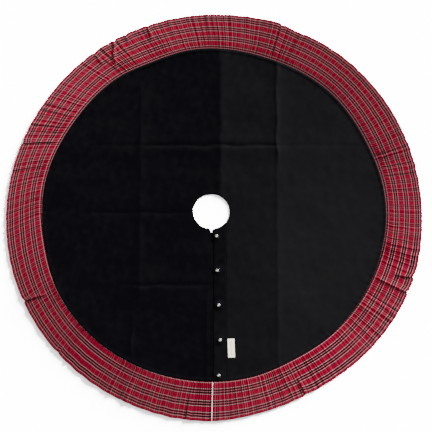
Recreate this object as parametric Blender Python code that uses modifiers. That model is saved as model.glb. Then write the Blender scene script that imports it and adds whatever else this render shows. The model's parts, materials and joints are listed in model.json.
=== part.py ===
"""A round tree skirt: black velvet over a thin lining, edged with a gathered tartan ruffle.

It is slit from the trunk hole to the hem. The right edge of the slit carries a band that laps over
a strip on the left edge, and five press snaps close the two. The skirt lies on the floor with the
hole's centre over the origin, the slit towards -Y and +X to the right.

The corner between the slit and the fold line turns back about that line, once the snaps are open,
to let the trunk in. Its pieces are children of an empty on the fold's axis.
"""

import math

import bmesh
import bpy
from mathutils import Matrix, Vector

# The cut of the skirt
HOLE_RADIUS = 0.054
SEAM_RADIUS = 0.506
HEM_RADIUS = 0.610
ARC_STEP = math.radians(2)

# Cloth thicknesses, and the gap that is left between any two pieces
GAP = 0.0003
LINING_THICKNESS = 0.0007
VELVET_THICKNESS = 0.0015
STRIP_THICKNESS = 0.0015
RUFFLE_THICKNESS = 0.004
LABEL_THICKNESS = 0.0005

# The slit's two strips, measured across the slit from its middle line
SLIT_HALF_WIDTH = 0.0025
UNDER_STRIP = (0.0003, 0.026)
CORNER_EDGE = 0.027
BAND = (0.0005, 0.038)
STRIP_ENDS = (HOLE_RADIUS + 0.004, SEAM_RADIUS - 0.0005)
BAND_COLUMNS = 8
BAND_ROWS = 90

# The ruffle's cut lengths meet end to end at these angles from the slit, on top of the fold's own
RUFFLE_JOINS = (math.radians(66), math.radians(158), math.radians(248))

# The fold runs from the hole's right edge to the ruffle join beside the slit
FOLD_HEADING = math.radians(22.5)
FOLD_OFFSET = HOLE_RADIUS * math.cos(FOLD_HEADING)
FOLD_HEIGHT = 0.006

# Press snaps, size 20: where each one sits on the strips, as (across, distance from the hole)
SNAPS = ((0.010, 0.075), (0.012, 0.178), (0.016, 0.281), (0.020, 0.384), (0.016, 0.487))
CAP_RADIUS = 0.006
CAP_HEIGHT = 0.0019
SOCKET_RADIUS = 0.00525
SOCKET_HEIGHT = 0.0021
SOCKET_WEB = 0.0006
MOUTH_RADIUS = 0.0023
STUD_RADIUS = 0.00475
STUD_HEIGHT = 0.0020
KNOB_RADIUS = 0.0020
KNOB_NECK = 0.0017
POST_RADIUS = 0.005
FLANGE_THICKNESS = 0.0006
POST_FLANGE = 0.0005
STEM_RADIUS = 0.0010
CAP_STEM_RADIUS = 0.0012
TURN_STEPS = 20

# Heights of the stacked layers
VELVET_BOTTOM = LINING_THICKNESS + GAP
VELVET_TOP = VELVET_BOTTOM + VELVET_THICKNESS
UNDER_BOTTOM = POST_FLANGE + GAP
STUD_BOTTOM = UNDER_BOTTOM + STRIP_THICKNESS + GAP
SOCKET_BOTTOM = STUD_BOTTOM + FLANGE_THICKNESS + GAP
BAND_AT_SNAP = SOCKET_BOTTOM + SOCKET_HEIGHT + GAP
BAND_AT_REST = VELVET_TOP + GAP
CAP_BOTTOM = BAND_AT_SNAP + STRIP_THICKNESS + GAP

# The band lies flat over a snap for the first radius and has come down by the second
LIFT_FLAT = 0.0065
LIFT_END = 0.019

# The woven label, flat on the velvet of the corner
LABEL_SIZE = (0.024, 0.058)
LABEL_CENTRE = (0.057, -0.408)
LABEL_TURN = math.radians(2)


def material(name, colour, roughness, metallic=0.0):
    """A Principled finish in one colour."""
    made = bpy.data.materials.new(name)
    made.use_nodes = True
    shader = made.node_tree.nodes["Principled BSDF"]
    shader.inputs["Base Color"].default_value = (*colour, 1.0)
    shader.inputs["Roughness"].default_value = roughness
    shader.inputs["Metallic"].default_value = metallic
    made.diffuse_color = (*colour, 1.0)
    return made


def place(piece, finish, moving):
    """Puts a piece in the skirt's collection and, if it moves, under the fold's empty."""
    skirt.objects.link(piece)
    piece.data.materials.append(finish)
    if moving:
        piece.parent = fold
        piece.matrix_parent_inverse = Matrix.Translation(fold.location).inverted()


def angle_on(edge, radius):
    """The angle from the slit at which a straight edge meets a circle about the hole's centre.

    An edge is its heading, as an angle from the slit, and how far it passes beside the centre.
    """
    heading, offset = edge
    return heading + math.asin(offset / radius)


def point_at(radius, angle):
    return radius * math.sin(angle), -radius * math.cos(angle)


def arc(radius, first, last):
    """Points along an arc, both ends included."""
    steps = max(2, math.ceil(abs(last - first) / ARC_STEP))
    return [point_at(radius, first + (last - first) * i / steps) for i in range(steps + 1)]


def sector(inner, outer, first, last):
    """The outline of a ring's sector between two straight edges."""
    return arc(outer, angle_on(first, outer), angle_on(last, outer)) + arc(
        inner, angle_on(last, inner), angle_on(first, inner)
    )


def circle(centre, radius):
    """Points round a small hole."""
    turns = [2 * math.pi * i / TURN_STEPS for i in range(TURN_STEPS)]
    return [(centre[0] + radius * math.cos(t), centre[1] + radius * math.sin(t)) for t in turns]


def snap_centre(snap):
    across, distance = snap
    return across, -distance


def cut_cloth(name, outlines, bottom, thickness, finish, moving=False):
    """A flat piece of cloth: its outline, with any holes as further outlines, filled and thick."""
    curve = bpy.data.curves.new(name, "CURVE")
    curve.dimensions = "2D"
    curve.fill_mode = "BOTH"
    curve.extrude = thickness / 2
    for outline in outlines:
        spline = curve.splines.new("POLY")
        spline.points.add(len(outline) - 1)
        spline.use_cyclic_u = True
        for point, (x, y) in zip(spline.points, outline):
            point.co = (x, y, 0, 1)
    piece = bpy.data.objects.new(name, curve)
    piece.location.z = bottom + thickness / 2
    place(piece, finish, moving)


def turned(name, profile, closed, snap, bottom, finish, moving=False):
    """A round piece: a profile of (radius, height), outer side first from the top, turned once."""
    mesh = bpy.data.meshes.new(name)
    form = bmesh.new()
    points = [form.verts.new((radius, 0, height)) for radius, height in profile]
    for first, second in zip(points, points[1:]):
        form.edges.new((first, second))
    if closed:
        form.edges.new((points[-1], points[0]))
    form.to_mesh(mesh)
    form.free()
    piece = bpy.data.objects.new(name, mesh)
    x, y = snap_centre(snap)
    piece.location = (x, y, bottom)
    turn = piece.modifiers.new("Turn", "SCREW")
    turn.steps = TURN_STEPS
    turn.render_steps = TURN_STEPS
    turn.use_merge_vertices = True
    turn.merge_threshold = 0.0001
    place(piece, finish, moving)


def main_cloths():
    """The velvet and the lining under it, which run all the way round from the fold to the slit."""
    start = (FOLD_HEADING, FOLD_OFFSET + GAP / 2)
    end = (2 * math.pi, 0.0)
    outline = sector(HOLE_RADIUS, SEAM_RADIUS, start, end)
    cut_cloth("velvet_main", [outline], VELVET_BOTTOM, VELVET_THICKNESS, velvet)
    cut_cloth("lining_main", [outline], 0.0, LINING_THICKNESS, lining)


def corner_cloths():
    """The same two cloths from the slit to the fold, which turn back together."""
    start = (0.0, CORNER_EDGE)
    end = (FOLD_HEADING, FOLD_OFFSET - GAP / 2)
    outline = sector(HOLE_RADIUS, SEAM_RADIUS, start, end)
    cut_cloth("velvet_corner", [outline], VELVET_BOTTOM, VELVET_THICKNESS, velvet, True)
    cut_cloth("lining_corner", [outline], 0.0, LINING_THICKNESS, lining, True)


def ruffle_length(name, first, last, moving=False):
    """One cut length of the ruffle, between the ends at which it meets its neighbours."""
    inner = SEAM_RADIUS + 2 * GAP
    outline = sector(inner, HEM_RADIUS, first, last)
    cut_cloth(name, [outline], 0.0, RUFFLE_THICKNESS, tartan, moving)


def ruffle():
    """The ruffle's lengths in order round the skirt. The first one turns back with the corner."""
    fold_end = (FOLD_HEADING, FOLD_OFFSET - GAP / 2)
    ruffle_length("ruffle_corner", (0.0, SLIT_HALF_WIDTH), fold_end, True)
    starts = [(FOLD_HEADING, FOLD_OFFSET + GAP / 2)] + [(join, GAP / 2) for join in RUFFLE_JOINS]
    ends = [(join, -GAP / 2) for join in RUFFLE_JOINS] + [(2 * math.pi, -SLIT_HALF_WIDTH)]
    for number, (first, last) in enumerate(zip(starts, ends), 1):
        ruffle_length(f"ruffle_length_{number}", first, last)


def under_strip():
    """The strip that the left edge holds under the band, with a hole for each snap's post."""
    inner, outer = STRIP_ENDS
    outline = sector(inner, outer, (0.0, UNDER_STRIP[0]), (0.0, UNDER_STRIP[1]))
    holes = [circle(snap_centre(snap), STEM_RADIUS + GAP) for snap in SNAPS]
    cut_cloth("under_placket", [outline] + holes, UNDER_BOTTOM, STRIP_THICKNESS, velvet)


def lift(x, y):
    """How far the band stands above its resting height, at a point of it."""
    most = 0.0
    for snap in SNAPS:
        centre = snap_centre(snap)
        away = math.hypot(x - centre[0], y - centre[1])
        share = min(1.0, max(0.0, (LIFT_END - away) / (LIFT_END - LIFT_FLAT)))
        most = max(most, share * share * (3 - 2 * share))
    return most * (BAND_AT_SNAP - BAND_AT_REST)


def top_band():
    """The band on the right edge. It lies on the velvet and rises over each snap."""
    inner, outer = STRIP_ENDS
    mesh = bpy.data.meshes.new("top_placket")
    form = bmesh.new()
    bmesh.ops.create_grid(form, x_segments=BAND_COLUMNS, y_segments=BAND_ROWS, size=0.5)
    for point in form.verts:
        across = point.co.x + 0.5
        along = point.co.y + 0.5
        x = BAND[0] + across * (BAND[1] - BAND[0])
        top = -math.sqrt(inner**2 - x**2)
        bottom = -math.sqrt(outer**2 - x**2)
        y = bottom + along * (top - bottom)
        point.co = (x, y, BAND_AT_REST + lift(x, y))
    form.to_mesh(mesh)
    form.free()
    band = bpy.data.objects.new("top_placket", mesh)
    place(band, velvet, True)
    thick = band.modifiers.new("Cloth", "SOLIDIFY")
    thick.thickness = STRIP_THICKNESS
    thick.offset = 1.0
    for number, snap in enumerate(SNAPS, 1):
        hole = band.modifiers.new(f"Snap hole {number}", "BOOLEAN")
        hole.operation = "DIFFERENCE"
        hole.solver = "EXACT"
        hole.object = hole_cutter(number, snap)


def hole_cutter(number, snap):
    """A pin that cuts the hole for one cap's stem."""
    x, y = snap_centre(snap)
    bpy.ops.mesh.primitive_cylinder_add(
        vertices=TURN_STEPS,
        radius=CAP_STEM_RADIUS + GAP,
        depth=4 * STRIP_THICKNESS,
        location=(x, y, BAND_AT_SNAP + STRIP_THICKNESS / 2),
    )
    pin = bpy.context.object
    pin.name = f"snap_hole_cutter_{number}"
    pin.hide_render = True
    pin.display_type = "WIRE"
    for home in list(pin.users_collection):
        home.objects.unlink(pin)
    cutters.objects.link(pin)
    return pin


def snap_cap(number, snap):
    """The domed cap on the band, with the stem that clamps the socket under it."""
    stem_end = SOCKET_BOTTOM + SOCKET_HEIGHT - SOCKET_WEB + GAP / 2 - CAP_BOTTOM
    profile = [
        (0, CAP_HEIGHT),
        (0.35 * CAP_RADIUS, 0.95 * CAP_HEIGHT),
        (0.66 * CAP_RADIUS, 0.76 * CAP_HEIGHT),
        (0.88 * CAP_RADIUS, 0.46 * CAP_HEIGHT),
        (CAP_RADIUS, 0.12 * CAP_HEIGHT),
        (0.96 * CAP_RADIUS, 0),
        (CAP_STEM_RADIUS, 0),
        (CAP_STEM_RADIUS, stem_end),
        (0, stem_end),
    ]
    turned(f"snap_cap_{number}", profile, False, snap, CAP_BOTTOM, nickel, True)


def snap_socket(number, snap):
    """The ring under the band whose mouth takes the stud's knob."""
    web = SOCKET_HEIGHT - SOCKET_WEB
    stem_hole = CAP_STEM_RADIUS + GAP
    profile = [
        (stem_hole, SOCKET_HEIGHT),
        (0.9 * SOCKET_RADIUS, SOCKET_HEIGHT),
        (SOCKET_RADIUS, 0.8 * SOCKET_HEIGHT),
        (SOCKET_RADIUS, 0.25 * SOCKET_HEIGHT),
        (0.75 * SOCKET_RADIUS, 0),
        (MOUTH_RADIUS, 0),
        (MOUTH_RADIUS, web),
        (stem_hole, web),
    ]
    turned(f"snap_socket_{number}", profile, True, snap, SOCKET_BOTTOM, nickel, True)


def snap_stud(number, snap):
    """The stud on the strip, whose knob presses into the socket."""
    bore = STEM_RADIUS + GAP
    profile = [
        (bore, STUD_HEIGHT),
        (0.8 * KNOB_RADIUS, STUD_HEIGHT),
        (KNOB_RADIUS, 0.8 * STUD_HEIGHT),
        (KNOB_NECK, 0.45 * STUD_HEIGHT),
        (KNOB_NECK, FLANGE_THICKNESS),
        (STUD_RADIUS, 0.6 * FLANGE_THICKNESS),
        (STUD_RADIUS, 0),
        (bore, 0),
    ]
    turned(f"snap_stud_{number}", profile, True, snap, STUD_BOTTOM, nickel)


def snap_post(number, snap):
    """The post that comes up from under the strip and holds the stud on it."""
    stem_top = STUD_BOTTOM + STUD_HEIGHT - GAP
    profile = [
        (0, stem_top),
        (STEM_RADIUS, stem_top),
        (STEM_RADIUS, POST_FLANGE),
        (POST_RADIUS, POST_FLANGE),
        (POST_RADIUS, 0),
        (0, 0),
    ]
    turned(f"snap_post_{number}", profile, False, snap, 0.0, nickel)


def label():
    """The woven label, turned a little as it was sewn."""
    half_width, half_length = LABEL_SIZE[0] / 2, LABEL_SIZE[1] / 2
    corners = ((-1, -1), (1, -1), (1, 1), (-1, 1))
    turn = Matrix.Rotation(LABEL_TURN, 2)
    outline = []
    for side, end in corners:
        x, y = turn @ Vector((side * half_width, end * half_length))
        outline.append((LABEL_CENTRE[0] + x, LABEL_CENTRE[1] + y))
    cut_cloth("woven_label", [outline], VELVET_TOP + GAP, LABEL_THICKNESS, woven, True)


for old in list(bpy.data.objects):
    bpy.data.objects.remove(old)

skirt = bpy.data.collections.new("tree_skirt")
cutters = bpy.data.collections.new("cutters")
bpy.context.scene.collection.children.link(skirt)
bpy.context.scene.collection.children.link(cutters)

velvet = material("Black velvet", (0.010, 0.010, 0.013), 0.9)
lining = material("Black lining", (0.020, 0.020, 0.022), 0.75)
tartan = material("Red tartan", (0.42, 0.008, 0.03), 0.85)
nickel = material("Bright nickel", (0.78, 0.78, 0.76), 0.2, 1.0)
woven = material("Cream label", (0.80, 0.74, 0.58), 0.7)

fold = bpy.data.objects.new("corner_fold_axis", None)
fold.location = (*point_at(HOLE_RADIUS, math.pi / 2), FOLD_HEIGHT)
skirt.objects.link(fold)

main_cloths()
corner_cloths()
ruffle()
under_strip()
top_band()
for index, where in enumerate(SNAPS, 1):
    snap_cap(index, where)
    snap_socket(index, where)
    snap_stud(index, where)
    snap_post(index, where)
label()
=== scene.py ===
# %% [markdown]
# # A velvet tree skirt with a gathered tartan ruffle
# A tree skirt is a round cloth that lies on the floor round a tree's trunk. This one is black velvet on a
# dark lining, with a red tartan ruffle sewn round its edge, a slit from the hole to the hem, and a strip of
# press snaps that closes the slit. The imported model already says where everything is, so the lesson starts by
# loading it, and every piece below is built round it and rides on one of its two bodies: the skirt itself,
# and the corner beside the slit, which folds back to let the trunk in.

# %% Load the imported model
import json
import math

import bmesh
import bpy
import numpy as np
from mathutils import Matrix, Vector


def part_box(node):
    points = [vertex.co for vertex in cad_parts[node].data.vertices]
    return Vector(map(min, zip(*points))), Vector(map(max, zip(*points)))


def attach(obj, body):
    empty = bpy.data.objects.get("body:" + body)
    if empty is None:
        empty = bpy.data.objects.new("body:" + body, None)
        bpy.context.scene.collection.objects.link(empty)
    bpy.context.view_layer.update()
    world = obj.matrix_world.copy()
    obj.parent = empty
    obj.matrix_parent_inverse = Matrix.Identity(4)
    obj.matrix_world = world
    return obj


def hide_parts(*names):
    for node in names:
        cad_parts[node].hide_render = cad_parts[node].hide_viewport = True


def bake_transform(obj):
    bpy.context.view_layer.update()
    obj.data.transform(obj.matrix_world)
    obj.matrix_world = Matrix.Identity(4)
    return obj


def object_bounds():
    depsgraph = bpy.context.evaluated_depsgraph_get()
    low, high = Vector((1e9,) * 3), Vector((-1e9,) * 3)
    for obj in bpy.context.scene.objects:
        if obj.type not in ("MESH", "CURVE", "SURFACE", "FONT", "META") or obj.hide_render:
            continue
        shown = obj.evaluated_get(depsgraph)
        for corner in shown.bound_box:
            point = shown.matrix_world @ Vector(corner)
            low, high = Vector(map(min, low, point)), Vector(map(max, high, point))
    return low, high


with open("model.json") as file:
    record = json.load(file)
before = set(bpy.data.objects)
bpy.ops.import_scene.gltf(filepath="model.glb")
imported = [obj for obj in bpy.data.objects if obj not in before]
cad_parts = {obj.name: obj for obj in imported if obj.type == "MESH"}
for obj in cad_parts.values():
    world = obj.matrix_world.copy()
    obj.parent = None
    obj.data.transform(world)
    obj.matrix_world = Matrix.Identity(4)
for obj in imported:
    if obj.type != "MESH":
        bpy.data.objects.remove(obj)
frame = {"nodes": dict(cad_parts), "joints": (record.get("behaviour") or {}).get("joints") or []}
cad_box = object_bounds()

# %% [markdown]
# Sizes come from the frame. The hinge line of the folding corner starts at the rim of the hole, the velvet
# ends at the seam, and the ruffle ends at the hem. Angles are counted the way a cutter would walk round the
# cloth: 0 degrees is the slit, 90 is to the right of it, 180 is the far side, and 270 is the left.

# %% Driving sizes
MM = 0.001
hinge = frame["joints"][0]
HOLE = hinge["pos_m"][0]
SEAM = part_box("velvet_main")[1].x
HEM = cad_box[1].x
VELVET_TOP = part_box("velvet_main")[1].z
DROP = HEM - SEAM
FULL_TURN = 360.0


def around(angle, radius):
    """x and y of points at these angles, in degrees from the slit, and radii."""
    turn = np.radians(angle)
    return radius * np.sin(turn), -radius * np.cos(turn)


print(f"hole {HOLE:.3f}, seam {SEAM:.3f}, hem {HEM:.3f}, ruffle {DROP:.3f} m")

# %% [markdown]
# The camera looks down at the skirt from almost straight above, a little from the slit's side. It could be
# put right over the middle, but then the far and near hems would look the same, and here the far one is
# slightly smaller. A long lens from six metres keeps that difference small.

# %% Camera
LEAN = math.radians(14.7)
CAMERA_DISTANCE = 6.42
AIM = Vector((0.008, -0.013, 0.0))
LENS_MM = 183
SENSOR_MM = 36
FAR_ENOUGH = 100


def shown(name, data):
    """An object of this data, linked into the scene."""
    thing = bpy.data.objects.new(name, data)
    bpy.context.scene.collection.objects.link(thing)
    return thing


camera = shown("camera", bpy.data.cameras.new("camera"))
camera.location = AIM + CAMERA_DISTANCE * Vector((0, -math.sin(LEAN), math.cos(LEAN)))
camera.rotation_euler = (LEAN, 0, 0)
camera.data.lens = LENS_MM
camera.data.sensor_width = SENSOR_MM
camera.data.clip_end = FAR_ENOUGH
bpy.context.scene.camera = camera
print("camera at", tuple(round(c, 2) for c in camera.location))

# %% [markdown]
# Light for cloth should be soft but come mostly from one side, because gathers and creases only show when
# one flank is brighter than the other. A broad sun stands low beyond the far right edge, so it lights every
# part of the skirt alike. A wide panel high overhead fills the shadows and gives the snaps' bright plate
# something to reflect, and a dim even surround does the rest. A lamp close by could light the gathers too,
# but then the cloth would be brighter on its side.

# %% Lights
KEY_HEADING = 135.0
KEY_HEIGHT = 20.0
KEY_STRENGTH = 4.7
KEY_SPREAD = 14.0
FILL_STRENGTH = 0.16
PANEL_HEIGHT = 7.6
PANEL_ACROSS = 4.8
PANEL_WATTS = 140.0


def sun(name, strength, spread, height=KEY_HEIGHT):
    """A sun from beyond the far right edge, or from higher up."""
    x, y = around(KEY_HEADING, math.cos(math.radians(height)))
    toward = Vector((x, y, math.sin(math.radians(height))))
    light = shown(name, bpy.data.lights.new(name, "SUN"))
    light.data.energy = strength
    light.data.angle = math.radians(spread)
    light.rotation_euler = toward.to_track_quat("Z", "Y").to_euler()
    light.location = toward * 3
    return light


sun("key_sun", KEY_STRENGTH, KEY_SPREAD)
panel = shown("panel", bpy.data.lights.new("panel", "AREA"))
panel.data.shape = "DISK"
panel.data.size = PANEL_ACROSS
panel.data.energy = PANEL_WATTS
panel.location = (0, 0, PANEL_HEIGHT)
world = bpy.data.worlds.new("studio")
world.use_nodes = True
surround = world.node_tree.nodes["Background"].inputs
surround["Color"].default_value = (1, 1, 1, 1)
surround["Strength"].default_value = FILL_STRENGTH
bpy.context.scene.world = world
print("key from heading", KEY_HEADING, "at", KEY_HEIGHT, "degrees")

# %% [markdown]
# Finishes are written as sums. Blender's shader maths is a graph of small nodes, which is hard to read when
# every node and link has its own line. So one small class wraps a socket and lets Python's own operators add
# the Math nodes: `1 - mask * 0.5` is two of them. Vectors go through Vector Math and colours through Mix,
# since a Math node would turn a colour grey.

# %% Sockets that add up
class Strand:
    """One output of a node. Arithmetic on it adds the nodes that do that arithmetic."""

    def __init__(self, finish, output):
        self.finish = finish
        self.output = output

    def _sum(self, operation, first, second):
        kinds = [s.output.type for s in (first, second) if isinstance(s, Strand)]
        kind = "ShaderNodeVectorMath" if "VECTOR" in kinds else "ShaderNodeMath"
        return self.finish.node(kind, {"operation": operation}, {0: first, 1: second})

    def __add__(self, other):
        return self._sum("ADD", self, other)

    __radd__ = __add__

    def __sub__(self, other):
        return self._sum("SUBTRACT", self, other)

    def __rsub__(self, other):
        return self._sum("SUBTRACT", other, self)

    def __mul__(self, other):
        return self._sum("MULTIPLY", self, other)

    __rmul__ = __mul__

    def __truediv__(self, other):
        return self._sum("DIVIDE", self, other)

    def calc(self, operation, second=0.0):
        """Any other Math operation, such as FRACT or SINE."""
        return self._sum(operation, self, second)

    def step(self, low, high):
        """0 below low, 1 above high, and smooth between."""
        ends = {"From Min": low, "From Max": high}
        return self.finish.node(
            "ShaderNodeMapRange", {"interpolation_type": "SMOOTHSTEP"}, {"Value": self, **ends}
        )


class Finish:
    """A material being made: its node tree, its shader, and the one way to add a node."""

    def __init__(self, name, values):
        self.material = bpy.data.materials.new(name)
        self.material.use_nodes = True
        self.tree = self.material.node_tree
        self.shader = self.tree.nodes["Principled BSDF"]
        self.feed(self.shader, values)

    def feed(self, node, values):
        """Sets or links a node's inputs, by name or by number."""
        for key_, value in values.items():
            socket = node.inputs[key_]
            if isinstance(value, Strand):
                self.tree.links.new(value.output, socket)
            elif isinstance(value, tuple) and len(value) == 3 and socket.type == "RGBA":
                socket.default_value = (*value, 1)
            else:
                socket.default_value = value

    def node(self, kind, settings=None, inputs=None, output=0):
        """Adds a node: its settings first, a ramp's stops among them, then its inputs."""
        node = self.tree.nodes.new(kind)
        for name, value in (settings or {}).items():
            if name == "stops":
                set_stops(node.color_ramp, *value)
            else:
                setattr(node, name, value)
        self.feed(node, inputs or {})
        return Strand(self, node.outputs[output])

    def blend(self, share, first, second, mode="MIX"):
        """A colour between two colours."""
        settings = {"data_type": "RGBA", "blend_type": mode}
        return self.node("ShaderNodeMix", settings, {0: share, 6: first, 7: second}, output=2)

    def noise(self, where, scale, detail=3.0, roughness=0.55):
        inputs = {"Vector": where, "Scale": scale, "Detail": detail, "Roughness": roughness}
        return self.node("ShaderNodeTexNoise", {}, inputs)

    def place(self):
        """Where a point is on the object, in metres."""
        return self.node("ShaderNodeTexCoord", output=3)

    def mark(self, name):
        """A value that the mesh keeps with its points."""
        return self.node("ShaderNodeAttribute", {"attribute_name": name}, output=2)

    def threads(self):
        """A point's place in its own cloth, in metres: as a vector, and each way alone."""
        both = self.node("ShaderNodeUVMap", {"uv_map": "threads"})
        one_way = self.node("ShaderNodeSeparateXYZ", {}, {0: both}, output=0)
        other_way = self.node("ShaderNodeSeparateXYZ", {}, {0: both}, output=1)
        return both, one_way, other_way

    def bump(self, height, depth, strength=1.0):
        """Feeds the shader's normal with a height in parts of depth, in metres."""
        inputs = {"Height": height, "Distance": depth, "Strength": strength}
        self.feed(self.shader, {"Normal": self.node("ShaderNodeBump", {}, inputs)})


def set_stops(ramp, kind, stops):
    """Gives a colour ramp its kind of interpolation and its (position, colour) stops, in order."""
    ramp.interpolation = kind
    while len(ramp.elements) > 1:
        ramp.elements.remove(ramp.elements[-1])
    for number, (position, colour) in enumerate(stops):
        element = ramp.elements[0] if number == 0 else ramp.elements.new(position)
        element.position = position
        element.color = (*colour, 1)


print("sockets now add, subtract, multiply and divide")

# %% [markdown]
# The floor is a plain white sweep. Beside black velvet it has to be far brighter than paper to read as
# white, so it has two suns of its own, linked to the floor alone: the skirt still throws its shadow there,
# and the high one keeps that shadow grey, but the extra light doesn't reach the cloth. For the same reason
# the cloth doesn't see the floor's glare.

# %% Floor
FLOOR_HALF = 30.0
FLOOR_LEVEL = -0.5 * MM
# name, strength, and spread and height in degrees
FLOOR_SUNS = (("floor_sun", 290.0, 28, 9.0), ("floor_soft", 4.5, 60, 75))
MATT_WHITE = {"Base Color": (0.9, 0.9, 0.9), "Specular IOR Level": 0.0, "Roughness": 1.0}
SQUARE = ((-1, -1), (1, -1), (1, 1), (-1, 1))
floor_corners = [(x * FLOOR_HALF, y * FLOOR_HALF, FLOOR_LEVEL) for x, y in SQUARE]
floor_mesh = bpy.data.meshes.new("floor")
floor_mesh.from_pydata(floor_corners, [], [(0, 1, 2, 3)])
floor_mesh.materials.append(Finish("floor_white", MATT_WHITE).material)
floor = shown("floor", floor_mesh)
floor.visible_diffuse = False
floor.visible_glossy = False
only_floor = bpy.data.collections.new("only_floor")
only_floor.objects.link(floor)
for settings in FLOOR_SUNS:
    sun(*settings).light_linking.receiver_collection = only_floor
print("floor laid, with lights of its own")

# %% [markdown]
# Seen from low down, the floor would end in a hard horizon. A white wall far behind it carries the floor's
# white on upwards. The wall only shows to the camera: it glows by itself, throws no shadow and lights
# nothing, so the light on the cloth stays as it was set.

# %% Backdrop
WALL_FROM_MIDDLE = 26.0
WALL_HEIGHT = 16.0
WALL_SIDES = 96
WALL_GLOW = 14.0
wall_mesh = bpy.data.meshes.new("backdrop")
form = bmesh.new()
ends = {"radius1": WALL_FROM_MIDDLE, "radius2": WALL_FROM_MIDDLE}
bmesh.ops.create_cone(form, cap_ends=False, segments=WALL_SIDES, depth=WALL_HEIGHT, **ends)
form.to_mesh(wall_mesh)
form.free()
wall_glow = {"Emission Color": (1.0, 1.0, 1.0), "Emission Strength": WALL_GLOW}
wall_mesh.materials.append(Finish("backdrop_white", {**MATT_WHITE, **wall_glow}).material)
wall = shown("backdrop", wall_mesh)
wall.location.z = WALL_HEIGHT / 2 - 1 * MM
for ray in ("diffuse", "glossy", "transmission", "volume_scatter", "shadow"):
    setattr(wall, f"visible_{ray}", False)
print("backdrop stands", WALL_FROM_MIDDLE, "m away")

# %% [markdown]
# Every cloth here is a grid of points that follows the threads: rows run along the ruffle or round the
# hole, and columns run from the hole outwards. A grid could be cut from a plane and pushed about with
# modifiers, but worked out with numpy each point's place is one formula, and the threads' own coordinates
# can be kept beside it as a UV map in metres. That map is what makes checks and stripes follow the folds.

# %% Cloth from a grid
SHARP_FROM = math.radians(50)


def cloth_grid(name, points, threads, marks=None):
    """An object of one quad for each cell of points, (rows, columns, 3), facing up where columns turn with
    the angle and rows go outwards. threads is (rows, columns, 2) in metres, and marks is
    {name: (rows, columns)}."""
    rows, columns, _ = points.shape
    mesh = bpy.data.meshes.new(name)
    index = np.arange(rows * columns).reshape(rows, columns)
    corners = (index[:-1, :-1], index[1:, :-1], index[1:, 1:], index[:-1, 1:])
    faces = np.stack(corners, axis=-1).reshape(-1, 4)
    mesh.vertices.add(rows * columns)
    mesh.vertices.foreach_set("co", points.astype(np.float32).ravel())
    mesh.loops.add(faces.size)
    mesh.loops.foreach_set("vertex_index", faces.ravel())
    mesh.polygons.add(len(faces))
    mesh.polygons.foreach_set("loop_start", np.arange(0, faces.size, 4))
    mesh.update(calc_edges=True)
    layer = mesh.uv_layers.new(name="threads")
    layer.data.foreach_set("uv", threads.reshape(-1, 2)[faces.ravel()].astype(np.float32).ravel())
    for mark, values in (marks or {}).items():
        attribute = mesh.attributes.new(mark, "FLOAT", "POINT")
        attribute.data.foreach_set("value", np.asarray(values, np.float32).ravel())
    mesh.validate()
    mesh.shade_smooth()
    return shown(name, mesh)


def flat_sheet(name, x, y, height, marks=None):
    """A grid that lies on its plan, so each point's place in the cloth is its place on the floor."""
    return cloth_grid(name, np.stack([x, y, height], axis=-1), np.stack([x, y], axis=-1), marks)


def settle_shape(piece):
    """Makes the shape that the piece's modifiers give it its own mesh."""
    bpy.context.view_layer.update()
    seen = piece.evaluated_get(bpy.context.evaluated_depsgraph_get())
    old, piece.data = piece.data, bpy.data.meshes.new_from_object(seen)
    piece.modifiers.clear()
    bpy.data.meshes.remove(old)
    piece.data.name = piece.name


def thicken(piece, thickness):
    """Gives a sheet its thickness, downwards from its face."""
    solid = piece.modifiers.new("thickness", "SOLIDIFY")
    solid.thickness = thickness
    solid.offset = -1
    settle_shape(piece)
    piece.data.set_sharp_from_angle(angle=SHARP_FROM)
    return piece


def face_outwards(mesh):
    """Turns the faces of a closed mesh outwards and smooths it."""
    form = bmesh.new()
    form.from_mesh(mesh)
    bmesh.ops.recalc_face_normals(form, faces=form.faces)
    form.to_mesh(mesh)
    form.free()
    mesh.shade_smooth()


def dress(piece, finish):
    """Puts one finish on a piece."""
    piece.data.materials.clear()
    piece.data.materials.append(finish.material)
    return piece


def smooth_step(value, low, high):
    """0 below low, 1 above high, and smooth between."""
    t = np.clip((value - low) / (high - low), 0, 1)
    return t * t * (3 - 2 * t)


def between(value, low, high, soft):
    """1 between low and high, 0 outside, and smooth for soft either side of each."""
    return smooth_step(value, low - soft, low + soft) * (1 - smooth_step(value, high - soft, high + soft))


def hump(value, middle, width):
    """1 at the middle, falling smoothly to nothing about two widths away."""
    return np.exp(-(((value - middle) / width) ** 2))


print("grids can be made into cloth")

# %% [markdown]
# Hand-cut cloth is never quite round. The hem and the seam wander a few millimetres in and out of their
# circles, and the ruffle's stripes wander with them. A handful of (angle, offset) points is enough, joined
# by a smooth curve that closes on itself.

# %% Outlines that wander
HEM_WANDER = (
    (0, 8), (12, 0), (29, -6), (48, 0), (69, 5), (92, 0), (120, 1), (150, 2), (157, 0), (161, 5), (168, 2),
    (185, -1), (213, -4), (236, -9), (266, -6), (290, 0), (315, 4), (338, 7), (354, 9),
)
SEAM_WANDER = (
    (0, -2), (12, -3), (28, -9), (42, -5), (65, 0), (95, 4), (115, -2), (138, 3), (160, -1),
    (188, 2), (203, -5), (213, -1), (236, -6), (264, 0), (280, -4), (297, 2), (330, 0), (348, -1),
)
VELVET_OVERHANG = ((0, 0), (290, 0), (302, 2.5), (340, 2.5), (354, 0))


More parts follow.
